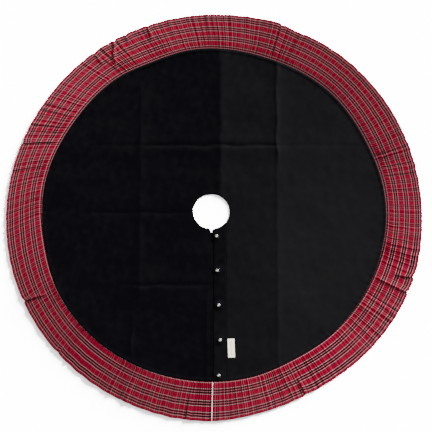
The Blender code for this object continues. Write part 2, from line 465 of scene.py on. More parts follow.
def wander(angle, points):
    """The offset in metres at these angles, on a smooth closed curve through (degrees, mm) points."""
    knots = np.array(points, float)
    at = np.concatenate([knots[-2:, 0] - FULL_TURN, knots[:, 0], knots[:2, 0] + FULL_TURN])
    off = np.concatenate([knots[-2:, 1], knots[:, 1], knots[:2, 1]]) * MM
    slope = np.gradient(off, at)
    where = np.mod(angle, FULL_TURN)
    cell = np.clip(np.searchsorted(at, where, side="right") - 1, 0, len(at) - 2)
    width = at[cell + 1] - at[cell]
    t = (where - at[cell]) / width
    rise = (2 * t**3 - 3 * t**2 + 1) * off[cell] + (3 * t**2 - 2 * t**3) * off[cell + 1]
    lean = (t**3 - 2 * t**2 + t) * slope[cell] + (t**3 - t**2) * slope[cell + 1]
    return rise + width * lean


def seam_radius(angle):
    return SEAM + wander(angle, SEAM_WANDER)


def hem_radius(angle):
    return HEM + wander(angle, HEM_WANDER)


everywhere = np.linspace(0, FULL_TURN, 721)
print(f"seam {seam_radius(everywhere).min():.4f} to {seam_radius(everywhere).max():.4f} m")
print(f"hem {hem_radius(everywhere).min():.4f} to {hem_radius(everywhere).max():.4f} m")

# %% [markdown]
# Folds are irregular waves. A single sine looks like corrugated card, so each wave here is five sines of
# nearby wavelengths added up, with a fixed seed so that the cloth is the same every time.

# %% Irregular waves
WAVES = 5


def ripple(distance, wavelength, seed):
    """An irregular wave along a distance, with a root-mean-square height of 1."""
    draw = np.random.default_rng(seed)
    total = np.zeros_like(distance, dtype=float)
    for _ in range(WAVES):
        length = wavelength * draw.uniform(0.72, 1.35)
        total = total + np.sin(2 * np.pi * distance / length + draw.uniform(0, 2 * np.pi))
    return total / math.sqrt(WAVES / 2)


def wrinkles(x, y, wavelength, seed, heading=None, spread=math.pi):
    """The same in two directions: waves that run every way, or within spread of one heading."""
    draw = np.random.default_rng(seed)
    total = np.zeros_like(x, dtype=float)
    middle = draw.uniform(0, math.pi) if heading is None else heading
    for _ in range(2 * WAVES):
        way = middle + draw.uniform(-spread, spread)
        length = wavelength * draw.uniform(0.7, 1.5)
        phase = draw.uniform(0, 2 * np.pi)
        across = x * math.cos(way) + y * math.sin(way)
        total = total + np.sin(2 * np.pi * across / length + phase)
    return total / math.sqrt(WAVES)


print("waves ready")

# %% [markdown]
# ## The ruffle
# The ruffle is a straight strip about a third longer than the seam it is gathered into. Near the seam the
# spare length stands in fine gathers, and towards the hem, where the circle is longer, they run together into
# wider, lower waves. It could be a flat ring with stripes painted on, but then neither the stripes nor the
# light would waver. So each point keeps its place in the cloth: a wave's height is chosen first, and the
# cloth's length left over after climbing it is what moves the point round the skirt.

# %% Gathers
STRIP_LENGTH = 4.29
THREAD_STEP = 1.8 * MM
# height in mm, wavelength in m, seed, and drift in m from seam to hem, of three sizes of wave
FINE = (1.05, 0.0105, 11, 0.0)
MIDDLE = (0.72, 0.023, 12, 0.004)
WIDE = (0.6, 0.058, 13, -0.006)
FLOOR_SOFTNESS = 1.2
LOWEST_FACE = 1.5
# from and to, in degrees, where the stripes that run out to the hem are lost in the gathers
PLAIN = ((27, 45), (70, 80), (315, 325), (353, 366))
PLAIN_SOFT = 3
CHECKS_LOST = 0.85
# painted sheen on the ruffle: its mean, its swing, and its turn in degrees against the key light's heading
SHINE_MEAN = 0.93
SHINE_SWING = 0.22
SHINE_TURN = 87


def wave(along, share, height, length, seed, drift):
    return height * ripple(along + drift * share, length, seed)


def gather_height(along, share):
    """Height of the ruffle's face in metres, along the strip and at a share of the way from seam to hem."""
    waves = wave(along, share, *FINE) * (1 - 0.7 * share) ** 1.3
    waves = waves + wave(along, share, *MIDDLE) * (0.35 + 0.65 * share)
    waves = waves + wave(along, share, *WIDE) * smooth_step(share, 0.15, 1)
    # some stretches are calmer than others, and all are held flat by the seam
    waves = waves * np.clip(0.78 + 0.22 * ripple(along, 0.31, 5), 0.45, 1.05)
    waves = waves * (0.3 + 0.7 * smooth_step(share, -0.02, 0.09))
    # the ruffle stands highest just outside the seam, and no wave goes through the floor
    lifted = waves + 1.3 + 1.5 * smooth_step(share, -0.01, 0.08) - 0.5 * smooth_step(share, 0.4, 1)
    return (LOWEST_FACE + 0.45 * (lifted + np.sqrt(lifted**2 + FLOOR_SOFTNESS))) * MM


def painted_fibre_sheen(angle):
    """Painted sheen: how much brighter the ruffle's colour is made where its outward threads lie across the
    light.
    """
    return SHINE_MEAN + SHINE_SWING * np.cos(2 * np.radians(angle - KEY_HEADING + SHINE_TURN))


def checks_show(angle):
    """1 where both sets of stripes show, and little where only the ones that run round do."""
    lost = np.zeros_like(angle, dtype=float)
    for start, end in PLAIN:
        lost = np.maximum(lost, between(angle, start, end, PLAIN_SOFT))
    return 1 - CHECKS_LOST * lost


trial = gather_height(np.arange(0, STRIP_LENGTH, THREAD_STEP)[None, :], np.array([[0.1], [0.5], [1.0]])) / MM
print("ruffle height in mm near the seam, midway and at the hem:")
print("mean", np.round(trial.mean(1), 1), "and highest", np.round(trial.max(1), 1))

# %% [markdown]
# Here and there the ruffle has been pressed into a sharp pleat. A pleat is a step in the wave: the cloth
# climbs slowly and drops at once. On the real ruffle the cloth turns under itself there, and the fold leaves a
# dark line of shade, which a single sheet of points can't do, so a mark paints that shade into the colour at
# the foot of each drop instead.

# %% Pleats
# angle at the seam, angle at the hem, share of the way out where it starts, height in mm, side that drops
PLEATS = (
    (26.2, 26.0, 0.45, 5.2, -1),
    (67.4, 66.6, 0.00, 5.4, -1),
    (69.6, 71.2, 0.40, 5.2, -1),
    (116.4, 114.1, 0.00, 2.8, 1),
    (154.3, 154.6, 0.35, 3.2, 1),
    (159.8, 160.5, 0.05, 6.0, 1),
    (198.7, 199.0, 0.50, 5.0, 1),
    (205.6, 205.8, 0.70, 3.6, 1),
    (214.5, 209.5, 0.20, 6.0, 1),
    (216.1, 216.3, 0.45, 4.2, 1),
    (244.9, 249.5, 0.00, 4.6, 1),
    (297.3, 296.1, 0.30, 6.4, 1),
    (313.0, 313.2, 0.70, 3.6, 1),
    (335.0, 334.2, 0.55, 2.2, -1),
    (352.5, 352.6, 0.25, 2.4, -1),
)
PLEAT_RISE = 18 * MM
PLEAT_DROP = 5.0 * MM
PLEAT_GROWS = 0.2
# the painted shade at the foot of each pleat: its width, the pleat height in mm that gets all of it, and how
# dark it is
CREASE_WIDTH = 1.5 * MM
DARKEST_PLEAT = 5.2
CREASE_PAINTED_SHADE = 0.8
CALM_BY_PLEAT = 0.35
PLEAT_PULL = 1.1


def pleat_height(angle, share):
    """What the pleats add to the height, and how dark the painted shade in the crease at each one's foot is,
    from 0 to 1.
    """
    total = np.zeros(np.broadcast(angle, share).shape)
    crease = np.zeros_like(total)
    flatter = 1 - 0.4 * smooth_step(share, 0.86, 1.0)
    for near, far, start, height, side in PLEATS:
        past = (angle - near - (far - near) * share) * side * STRIP_LENGTH / FULL_TURN
        shape = np.where(past < 0, smooth_step(past, -PLEAT_RISE, 0), 1 - smooth_step(past, 0, PLEAT_DROP))
        grown = smooth_step(share, start, start + PLEAT_GROWS)
        total = total + height * MM * shape * grown * flatter
        # painted shade along the foot of the drop
        line = hump(past, PLEAT_DROP / 2, CREASE_WIDTH)
        crease = np.maximum(crease, line * grown * min(1, height / DARKEST_PLEAT))
    return total, crease


print(len(PLEATS), "pleats")

# %% [markdown]
# The strip is joined from lengths, and each join is a seam across the ruffle with a shallow groove over it.
# Each length is its own piece of cloth, so its checks don't line up with the next one's. The length beside
# the slit is the one that folds back with the corner, and it carries on without a join into the next.

# %% Lengths of ruffle
RUFFLE_CLOTH = 0.8 * MM
ROWS_OUT = 33
# the last rows turn the hem under: how far past it, how far along the cloth, and how far below, in mm
HEM_PAST = np.array([0, 0.4, -1.5, -8]) * MM
HEM_ALONG = np.array([0, 0.8, 2.4, 9.0]) * MM
HEM_BELOW = np.array([0, 0.55, 1.25, 1.35]) * MM
STEEPEST = 0.96
JOIN_LEVEL = 1.7 * MM
JOIN_REACH = 3.5 * MM


def ruffle_sheet(name, first, last, open_ends, shift):
    """One length of ruffle between two (angle at the seam, angle at the hem) ends. open_ends says which ends
    dip into a join or a cut edge, and shift is where in the check this length was cut, in metres."""
    face = np.concatenate([[-5, -2.5, 0, 1.5, 3], np.linspace(5, DROP / MM - 1, ROWS_OUT)]) * MM
    out = np.concatenate([face, DROP + HEM_PAST])
    cloth = np.concatenate([face, DROP + HEM_ALONG])
    under = np.concatenate([np.zeros(len(face)), HEM_BELOW])
    share = (out / DROP)[:, None]
    start = STRIP_LENGTH * (first[0] + first[1]) / 2 / FULL_TURN
    end = STRIP_LENGTH * (last[0] + last[1]) / 2 / FULL_TURN
    along = np.linspace(start, end, int((end - start) / THREAD_STEP))[None, :]
    begin = first[0] + (first[1] - first[0]) * share
    finish = last[0] + (last[1] - last[0]) * share
    planned = begin + (finish - begin) * (along - start) / (end - start)
    pleat, crease = pleat_height(planned, share)
    height = gather_height(along, share) * (1 - CALM_BY_PLEAT * np.clip(pleat / (3 * MM), 0, 1)) + pleat
    for is_open, distance in zip(open_ends, (along - start, end - along)):
        if is_open:
            height = height - (height - JOIN_LEVEL) * (1 - smooth_step(distance, 0, JOIN_REACH)) ** 2
    climb = np.clip(np.gradient(height, axis=1) / np.gradient(along, axis=1), -STEEPEST, STEEPEST)
    travel = np.cumsum(np.sqrt(1 - climb**2), axis=1)
    travel = (travel - travel[:, :1]) / (travel[:, -1:] - travel[:, :1])
    angle = begin + (finish - begin) * travel
    seam = seam_radius(angle)
    radius = seam + (hem_radius(angle) - seam) * share + 0.35 * MM * ripple(along, 0.05, 21) * share
    radius = radius - PLEAT_PULL * pleat * smooth_step(share, 0.6, 1)
    x, y = around(angle, radius)
    points = np.stack([x, y, height - under[:, None]], axis=-1)
    threads = np.stack(np.broadcast_arrays(along + shift, cloth[:, None]), axis=-1)
    # the second mark is painted sheen by angle to the light, times painted shade at the foot of each pleat
    marks = {"checks": checks_show(angle), "painted_sheen_and_shade": painted_fibre_sheen(angle) * (1 - CREASE_PAINTED_SHADE * crease)}
    piece = thicken(cloth_grid(name, points, threads, marks), RUFFLE_CLOTH)
    flat = (float(cloth[-1] - cloth[0]), float(end - start))
    print(f"{name}: {len(piece.data.vertices)} points, cut {flat[0]:.3f} by {flat[1]:.3f} m")
    return piece, flat


# right of the slit, past the fold line, three joins, and left of the slit
ENDS = ((0.00, -0.22), (28.8, 28.8), (66.2, 65.4), (158.0, 158.6), (245.4, 250.0), (359.70, 359.50))
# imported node, name, whether the first and the last end dip, and the shift
CUTS = (
    ("ruffle_corner", "ruffle_by_the_slit", (True, False), 0.0),
    ("ruffle_length_1", "ruffle_right_front", (False, True), 0.0),
    ("ruffle_length_2", "ruffle_right_back", (True, True), 0.011),
    ("ruffle_length_3", "ruffle_left_back", (True, True), 0.023),
    ("ruffle_length_4", "ruffle_left_front", (True, True), 0.005),
)
lengths = {}
for first, last, (node, name, open_ends, shift) in zip(ENDS, ENDS[1:], CUTS):
    lengths[node] = ruffle_sheet(name, first, last, open_ends, shift)

# %% [markdown]
# The tartan is one list of stripes, the sett, used both ways. The threads that run out to the hem and the
# threads that run round the skirt each take their colour from it, and where they cross, a twill weave lets
# now one and now the other lie on top. That is why a tartan has full red only where red crosses red, and a
# half-tone everywhere else. Threads that lie across the light shine along their length, as combed hair does,
# and the shader has no such shine, so a mark multiplies the colour by a painted sheen, and by the painted
# shade at the foot of each pleat. A picture of a tartan would be simpler, but it would blur up close and
# would not follow the gathers.

# %% Tartan
SETT = 31 * MM
RED = (0.41, 0.003, 0.036)
PALE = (0.66, 0.39, 0.39)
SOFT_PALE = (0.46, 0.19, 0.20)
DARK = (0.006, 0.003, 0.006)
# half of the sett, from the middle of the broad red to the middle of the check: where each stripe ends, in mm
HALF_SETT = ((6.5, RED), (7.4, DARK), (9.1, PALE), (10.4, RED), (14.0, DARK), (14.5, RED), (15.5, SOFT_PALE))
BROAD_RED_AT = 11.5 * MM
TWILL_PITCH = 1.7 * MM


def sett_stops():
    """Ramp stops for the whole sett: the half and its mirror image, each stripe from edge to edge."""
    ends = [0.0] + [end * MM / SETT for end, _ in HALF_SETT]
    half = [(ends[i], ends[i + 1], colour) for i, (_, colour) in enumerate(HALF_SETT)]
    mirrored = [(1 - end, 1 - start, colour) for start, end, colour in reversed(half)]
    return [(start, colour) for start, _, colour in half + mirrored]


def tartan():
    sheen = {"Sheen Weight": 0.03, "Sheen Roughness": 0.5, "Sheen Tint": (1.0, 0.5, 0.5)}
    cloth = Finish("tartan", {**sheen, "Roughness": 0.86, "Specular IOR Level": 0.06})
    threads, along, out = cloth.threads()
    stripes = {"stops": ("CONSTANT", sett_stops())}
    running_out = cloth.node("ShaderNodeValToRGB", stripes, {0: (along / SETT).calc("FRACT")})
    around_at = ((out - BROAD_RED_AT) / SETT).calc("FRACT")
    running_round = cloth.node("ShaderNodeValToRGB", stripes, {0: around_at})
    twill = ((along + out) * (2 * math.pi / TWILL_PITCH)).calc("SINE")
    worn = cloth.noise(threads, 9.0)
    outward = twill * 0.16 + 0.27 + (worn - 0.5) * 0.3
    share = (outward * cloth.mark("checks")).calc("MAXIMUM", 0.0)
    checks = cloth.blend(share, running_round, running_out)
    slub = cloth.noise(threads, 420.0, detail=2.0)
    # the slubs are the yarn's own uneven tone, and the mark multiplies in painted sheen and painted shade
    shade = (0.84 + slub * 0.32) * cloth.mark("painted_sheen_and_shade")
    grey = cloth.node("ShaderNodeCombineColor", {}, {0: shade, 1: shade, 2: shade})
    cloth.feed(cloth.shader, {"Base Color": cloth.blend(1.0, checks, grey, "MULTIPLY")})
    cloth.bump(twill * 0.5 + slub, 0.25 * MM, 0.5)
    return cloth


tartan_cloth = tartan()
for piece, _ in lengths.values():
    dress(piece, tartan_cloth)
print("tartan sett of", SETT / MM, "mm, both ways")

# %% [markdown]
# ## The velvet
# The velvet was packed folded in squares, and the creases still show as low ridges and valleys along
# straight lines. They are a few millimetres wide, so they are real shape here and not paint. Each crease is a
# line, a reach along it, a height that is negative for a valley, and a width. A valley can't sink into the
# lining, so most of its depth comes from a shoulder that rises on either side.

# %% Creases
# direction across the crease, where it lies, from, to, height in mm, width in m
CREASES = (
    ("x", 0.188, 0.16, 0.47, 2.8, 0.009),
    ("x", 0.188, -0.45, 0.20, 1.0, 0.008),
    ("y", 0.2015, -0.19, 0.19, -2.2, 0.008),
    ("y", 0.2015, -0.34, 0.46, -0.9, 0.008),
    ("x", -0.214, -0.27, 0.39, 1.8, 0.016),
    ("x", 0.022, 0.06, 0.48, 1.6, 0.020),
    ("y", -0.004, -0.36, -0.06, -1.8, 0.012),
    ("y", -0.221, -0.245, -0.008, -2.0, 0.007),
    ("x", -0.2345, -0.42, -0.325, 1.5, 0.006),
    ("x", -0.018, -0.48, -0.25, 1.2, 0.008),
)
CREASE_FADE = 0.04
SHOULDER = 0.66


def creases(x, y):
    """Height that the packing folds add, in metres."""
    total = np.zeros_like(x, dtype=float)
    for across, at, low, high, height, width in CREASES:
        off, along = (x - at, y) if across == "x" else (y - at, x)
        waver = off + 1.2 * MM * ripple(along, 0.11, int(abs(at) * 1000))
        shape = height * np.exp(-np.abs(waver) / width)
        if height < 0:
            shape = shape - SHOULDER * height * hump(waver, 0, 3 * width)
        total = total + shape * MM * between(along, low, high, CREASE_FADE)
    return total


def velvet_height(x, y):
    """Height of the velvet's face away from its edges, in metres."""
    soft = 0.28 * wrinkles(x, y, 0.16, 31) + 0.10 * wrinkles(x, y, 0.045, 32)
    slant = 0.16 * wrinkles(x, y, 0.026, 33, heading=2.5, spread=0.4) * smooth_step(y - x, -0.1, 0.3)
    return VELVET_TOP + 0.2 * MM + soft * MM + slant * MM + creases(x, y)


print(len(CREASES), "creases")

# %% [markdown]
# Velvet looks darker or lighter with the way its pile lies to the light, and a folded skirt keeps a different
# lie in each of its panels. That light and shade is painted into the colour as a mark with the points: painted
# sheen in steps between the panels and in broad patches, lines of painted shade beside the placket and along
# a crease, painted light where the cloth slopes towards the light and painted shade where it slopes away. It
# could be left to the shader's sheen, but a sheen is the same on every panel.

# %% Nap, painted as sheen and shade
NAP_LEVEL = 0.06
# painted sheen in steps between the panels: from and to across the skirt in m, and how much lighter it gets
NAP_SHEEN_STEPS = ((0.010, 0.034, 0.38), (0.165, 0.20, 0.24))
# painted sheen in patches: x and y in m, size in square metres, and how much lighter the patch is
NAP_SHEEN_PATCHES = (
    (0.30, -0.16, 0.045, 0.20), (-0.29, 0.29, 0.02, 0.07), (0.005, 0.09, 0.003, 0.10),
    (-0.08, -0.01, 0.006, -0.07),
)
# lines of painted shade beside the placket and along a crease: x and width in mm, how much darker, and how far
# below the middle it starts and is full, in m: the last one starts beyond the far hem, so it crosses the whole
# skirt
PAINTED_SHADE_LINES = ((-6.0, 8.944, 0.08, 0.26, 0.32), (38.2, 1.8, 0.3, 0.04, 0.06), (182.0, 3.5, 0.13, -0.8, -0.7))
SLOPE_STEP = 3 * MM
SLOPE_PAINTED_LIGHT = 1.7


def painted_nap_light(x, y):
    """Painted sheen and shade, from how far the pile lies over towards the light: 1 where it does, 0 where it
    lies away.
    """
    lie = NAP_LEVEL + 0.025 * wrinkles(x, y, 0.09, 41) + 0.03 * wrinkles(x, y, 0.024, 42)
    for start, full, lighter in NAP_SHEEN_STEPS:
        lie = lie + lighter * smooth_step(x, start, full)
    for at_x, at_y, size, lighter in NAP_SHEEN_PATCHES:
        lie = lie + lighter * np.exp(-((x - at_x) ** 2 + (y - at_y) ** 2) / size)
    for at_x, width, darker, start, full in PAINTED_SHADE_LINES:
        lie = lie - darker * hump(x, at_x * MM, width * MM) * smooth_step(-y, start, full)
    # painted shade darkens the far right corner
    lie = lie - 0.10 * smooth_step(y, 0.12, 0.36) * smooth_step(x, 0.18, 0.30)
    # painted light where the cloth slopes towards the key light, and painted shade where it slopes away
    step_x, step_y = around(KEY_HEADING, SLOPE_STEP)
    fall = velvet_height(x - step_x, y - step_y) - velvet_height(x + step_x, y + step_y)
    return np.clip(lie + SLOPE_PAINTED_LIGHT * fall / (2 * SLOPE_STEP), 0, 1)


print("nap marked with", len(NAP_SHEEN_STEPS) + 1, "panels")

# %% [markdown]
# The velvet's face is a polar grid from the hole to the seam. At the seam it rolls over the allowances
# sewn inside, so it stands a little higher there and then turns down behind the gathers. The hole is not
# quite where the plan puts it: it sits a few millimetres to the left, and where the slit runs into it the
# cloth has pulled open into a small notch.

# %% Velvet grid
HOLE_SHIFT = Vector((-5.5 * MM, -1.0 * MM))
NOTCH_ANGLE = -5.0
NOTCH_DEPTH = 13.6 * MM
NOTCH_SLOPES = (6.6, 5.6)
FLAT_BELOW = 2.8 * MM
VELVET_CLOTH = 1.2 * MM
ROLL = 13 * MM
ROLL_HEIGHT = 2.1 * MM
STEP_OUT = 4.6 * MM


def hole_radius(angle):
    """From the plan's centre to the rim of the hole."""
    x, y = around(angle, 1.0)
    toward = x * HOLE_SHIFT.x + y * HOLE_SHIFT.y
    from_notch = (angle - NOTCH_ANGLE + FULL_TURN / 2) % FULL_TURN - FULL_TURN / 2
    slopes = np.where(from_notch < 0, NOTCH_SLOPES[0], NOTCH_SLOPES[1])
    notch = NOTCH_DEPTH * np.clip(1 - np.abs(from_notch) / slopes, 0, 1)
    flat_below = FLAT_BELOW * np.clip(np.cos(np.radians(angle + 6)), 0, 1) ** 2
    return HOLE - 0.8 * MM + toward - flat_below + 0.3 * MM * np.sin(np.radians(angle * 7)) + notch


def disc_rows(span):
    """Shares of the way out: even steps, finer where the edges turn."""
    middle = np.linspace(8 * MM, span - ROLL, int((span - ROLL) / STEP_OUT))
    rim = np.linspace(span - ROLL, span, 10)[1:]
    return np.concatenate([[0, 0.7 * MM, 1.6 * MM, 3 * MM, 5 * MM], middle, rim]) / span


def fan(begin, end, share, columns):
    """Angles of a grid between two edges, each a function of the radius so that it can run straight."""
    radius = HOLE + (SEAM - HOLE) * share
    turn = np.linspace(0, 1, columns)[None, :]
    return begin(radius) + (end(radius) - begin(radius)) * turn


def quarter_line(radius):
    """The edge that runs out level to the right, where the two parts of each cloth meet."""
    return 90.0 + 0 * radius


def right_of_slit(offset):
    """The edge that runs straight down, this far to the right of the middle."""
    return lambda radius: np.degrees(np.arcsin(offset / radius))


def left_of_slit(offset):
    """The same from the left, after a full turn."""
    return lambda radius: FULL_TURN + np.degrees(offset / radius)


def velvet_sheet(name, begin, end, columns):
    share = disc_rows(SEAM - HOLE)[:, None]
    angle = fan(begin, end, share, columns)
    edge = seam_radius(angle) + wander(angle, VELVET_OVERHANG) + 0.6 * MM
    radius = hole_radius(angle) + (edge - hole_radius(angle)) * share
    x, y = around(angle, radius)
    inside = edge - radius
    roll = ROLL_HEIGHT * (1 - smooth_step(inside, 3 * MM, ROLL)) * smooth_step(inside, -0.5 * MM, 2.5 * MM)
    tuck = 1.0 * MM * (1 - smooth_step(inside, 0, 2.0 * MM))
    pucker = 0.35 * MM * ripple(angle * math.radians(1) * SEAM, 0.019, 51)
    pucker = pucker * (1 - smooth_step(inside, 0, 0.03)) * smooth_step(inside, 0, 2 * MM)
    rim = 1.3 * MM * (1 - smooth_step(radius - hole_radius(angle), 0, 3.5 * MM))
    height = velvet_height(x, y) + roll + pucker - tuck - rim
    return thicken(flat_sheet(name, x, y, height, {"painted_nap_light": painted_nap_light(x, y)}), VELVET_CLOTH)


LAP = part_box("velvet_corner")[0].x
velvet_main = velvet_sheet("velvet_face", quarter_line, left_of_slit(0.2 * MM), 560)
velvet_corner = velvet_sheet("velvet_face_corner", right_of_slit(LAP), quarter_line, 180)
print("velvet sheets:", len(velvet_main.data.vertices), "and", len(velvet_corner.data.vertices), "points")

# %% [markdown]
# Black velvet is darker than black paint when looked at straight on, because its pile traps the light, and
# it gleams softly where the pile is seen from the side. A sheen on the shader does the second. The first is
# a very low colour, lifted by painted sheen where the nap was brushed towards the light and lowered by
# painted shade along creases and edges, as the mark on the points says.

# %% Velvet finish
PILE_DEEP = (0.0022, 0.0020, 0.0040)
PILE_LIT = (0.0168, 0.0168, 0.0182)


def velvet():
    gleam = {"Sheen Weight": 0.035, "Sheen Roughness": 0.6, "Sheen Tint": (0.8, 0.8, 0.9)}
    pile = Finish("velvet", {**gleam, "Roughness": 0.95, "Specular IOR Level": 0.05})
    where = pile.place()
    brushed = pile.noise(where, 55.0, detail=4.0)
    tufts = pile.noise(where, 900.0, detail=1.0)
    # the mark brings the painted sheen and shade; the two noises are the pile's own uneven tone
    share = pile.mark("painted_nap_light") + (brushed - 0.5) * 0.22 + (tufts - 0.5) * 0.18
    share = share.calc("MAXIMUM", 0.0)
    pile.feed(pile.shader, {"Base Color": pile.blend(share, PILE_DEEP, PILE_LIT)})
    pile.bump(tufts * 0.6 + brushed, 0.5 * MM, 0.35)
    return pile


velvet_pile = velvet()
for piece in (velvet_main, velvet_corner):
    dress(piece, velvet_pile)
print("velvet finish mixed")

# %% [markdown]
# ## The lining
# Under the velvet lies a plain woven lining. Nobody sees it until the corner is folded back, so it is a
# simple sheet close to the floor, in the same two parts as the velvet.

# %% Lining
LINING_CLOTH = 0.4 * MM
LINING_TOP = 0.62 * MM
LINING_INSET = 4 * MM
LINING_ROWS = 60
LINING_PITCH = 0.9 * MM
LINING_DARK = (0.010, 0.010, 0.011)
LINING_LIGHT = (0.026, 0.026, 0.029)


def lining_sheet(name, begin, end, columns):
    share = np.linspace(0, 1, LINING_ROWS)[:, None]
    angle = fan(begin, end, share, columns)
    inner = hole_radius(angle) + 1.0 * MM
    x, y = around(angle, inner + (seam_radius(angle) - LINING_INSET - inner) * share)
    height = LINING_TOP + 0.04 * MM * wrinkles(x, y, 0.05, 61)
    return thicken(flat_sheet(name, x, y, height), LINING_CLOTH)


def lining():
    gloss = {"Sheen Weight": 0.06, "Sheen Roughness": 0.5, "Specular IOR Level": 0.12}
    weave = Finish("lining", {**gloss, "Roughness": 0.7})
    threads, across, down = weave.threads()
    pitch = 2 * math.pi / LINING_PITCH
    grid = (across * pitch).calc("SINE") * (down * pitch).calc("SINE")
    colour = weave.blend(weave.noise(threads, 30.0) + grid * 0.15, LINING_DARK, LINING_LIGHT)
    weave.feed(weave.shader, {"Base Color": colour})
    weave.bump(grid, 0.1 * MM, 0.4)
    return weave


lining_weave = lining()
lining_main = lining_sheet("lining", quarter_line, left_of_slit(-LINING_INSET), 270)
lining_corner = lining_sheet("lining_corner_part", right_of_slit(LAP + 1 * MM), quarter_line, 90)
for piece in (lining_main, lining_corner):
    dress(piece, lining_weave)
print("lining laid under the velvet")

# %% [markdown]
# ## The placket
# The slit is closed by two velvet strips that lap: an under strip on the left, with the snaps' studs, and
# a band over it on the right, with their caps. The band swells over each snap, and is stitched down along
# its right edge. Each is a grid with its long edges turned down.

# %% Placket strips
SNAPS = 5
STRIP_CLOTH = 1.1 * MM
STRIP_STEP = 2.2 * MM
EDGE_ROWS = np.array([0, 0.5, 1.2, 2.2]) * MM
EDGE_IN = 3.2 * MM
SWELL_NEAR, SWELL_FAR = 5.5 * MM, 19 * MM
under_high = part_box("under_placket")[1]
band_low, band_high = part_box("top_placket")
REST_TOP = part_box("velvet_corner")[1].z + 0.3 * MM + VELVET_CLOTH
snap_boxes = [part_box(f"snap_cap_{number}") for number in range(1, SNAPS + 1)]
snap_places = [(low + high) / 2 for low, high in snap_boxes]


def below(x, radius_at):
    """y where the line at x meets an outline below the middle, given as a radius for each angle."""
    radius = radius_at(0 * x)
    for _ in range(6):
        radius = radius_at(np.degrees(np.arcsin(x / radius)))
    return -np.sqrt(radius**2 - x**2)


def strip_painted_nap_light(x, y):
    """Painted sheen and shade on the band: dark beside the hole, a line of painted shade along its stitches,
    and lighter towards the hem.
    """
    lie = 0.13 + 0.20 * smooth_step(-y, 0.25, 0.36) + 0.05 * wrinkles(x, y, 0.03, 72)
    # painted shade: a dark line along the stitched edge
    return np.clip(lie - 0.4 * hump(x, 35.5 * MM, 2.2 * MM), 0, 1)


def strip_sheet(name, left, right, height_at, turn_down, waver):
    """A velvet strip from left to right, cut along the hole's rim and the seam, with edges that turn down."""
    wide = right - left
    inner = np.linspace(3.6 * MM, wide - 3.6 * MM, 14)
    across = np.concatenate([EDGE_ROWS, inner, wide - EDGE_ROWS[::-1]])
    x = (left + across)[None, :]
    top = below(x, hole_radius) - 0.8 * MM
    bottom = below(x, seam_radius) - 0.6 * MM
    down = np.linspace(0, 1, int((top - bottom).max() / STRIP_STEP))[:, None]
    y = top + (bottom - top) * down
    x = x + waver * ripple(y, 0.14, 71)
    edge = np.minimum(across, wide - across)[None, :]
    end = np.minimum(top - y, y - bottom)
    fall = turn_down * (2 - smooth_step(edge, 0, 1.8 * MM) - smooth_step(end, 0, 1.8 * MM))
    height = np.maximum(height_at(x, y) - np.minimum(fall, turn_down), STRIP_CLOTH + 0.05 * MM)
    return thicken(flat_sheet(name, x, y, height, {"painted_nap_light": strip_painted_nap_light(x, y)}), STRIP_CLOTH)


def under_height(x, y):
    """The under strip rises from beneath the main velvet to the level of the studs."""
    return 1.25 * MM + (under_high.z - 1.25 * MM) * smooth_step(x, -1 * MM, 4 * MM) + 0 * y


def band_height(x, y):
    """The band lies on the velvet, swells over each snap, and is pulled down along its stitches."""
    total = REST_TOP + 0.3 * MM + 0.12 * MM * wrinkles(x, y, 0.05, 73)
    total = total - 0.8 * MM * hump(x, band_high.x - EDGE_IN, 1.2 * MM)
    for place in snap_places:
        away = np.hypot(x - place.x, y - place.y)
        total = total + (band_high.z - REST_TOP - 0.5 * MM) * (1 - smooth_step(away, SWELL_NEAR, SWELL_FAR))
    return total


band_left, band_right = band_low.x + 1.2 * MM, band_high.x - 0.6 * MM
under_strip = strip_sheet("placket_under_strip", -3 * MM, under_high.x, under_height, 0.5 * MM, 0.0)
band = strip_sheet("placket_band", band_left, band_right, band_height, 0.9 * MM, 0.4 * MM)
for piece in (under_strip, band):
    dress(piece, velvet_pile)
print("placket strips laid, with", SNAPS, "snaps along them")

# %% [markdown]
# A row of stitches holds the band down along its right edge. Each stitch is a short bent thread that dips
# into the cloth at both ends, all of them joined into one mesh. A dashed line of paint would do from far
# away, but a stitch has thickness, and the velvet dimples under it.

# %% Stitches
STITCH_LENGTH = 3.4 * MM
STITCH_GAP = 1.3 * MM
THREAD_RADIUS = 0.28 * MM
SIDES = 6
RINGS = 6


def stitch_line(name, x, top, bottom, height_at):
    """Stitches straight down a line at x, lying on height_at. Each is a bent tube with capped ends."""
    points, faces = [], []
    for start in np.arange(STITCH_GAP, top - bottom - STITCH_LENGTH, STITCH_LENGTH + STITCH_GAP):
        base = len(points)
        for along in np.linspace(0, 1, RINGS):
            y = top - start - STITCH_LENGTH * along
            middle = height_at(np.array([x]), np.array([y]))[0]
            middle = middle + THREAD_RADIUS * (1.6 * math.sin(math.pi * along) - 0.9)
            for side in range(SIDES):
                turn = 2 * math.pi * side / SIDES
                point = (x + THREAD_RADIUS * math.cos(turn), y, middle + THREAD_RADIUS * math.sin(turn))
                points.append(point)
        for ring in range(base, base + (RINGS - 1) * SIDES, SIDES):
            for side in range(SIDES):
                after = (side + 1) % SIDES
                faces.append((ring + side, ring + after, ring + after + SIDES, ring + side + SIDES))
        faces.append(tuple(base + side for side in reversed(range(SIDES))))
        faces.append(tuple(base + (RINGS - 1) * SIDES + side for side in range(SIDES)))
    mesh = bpy.data.meshes.new(name)
    mesh.from_pydata(points, [], faces)
    face_outwards(mesh)
    return shown(name, mesh)


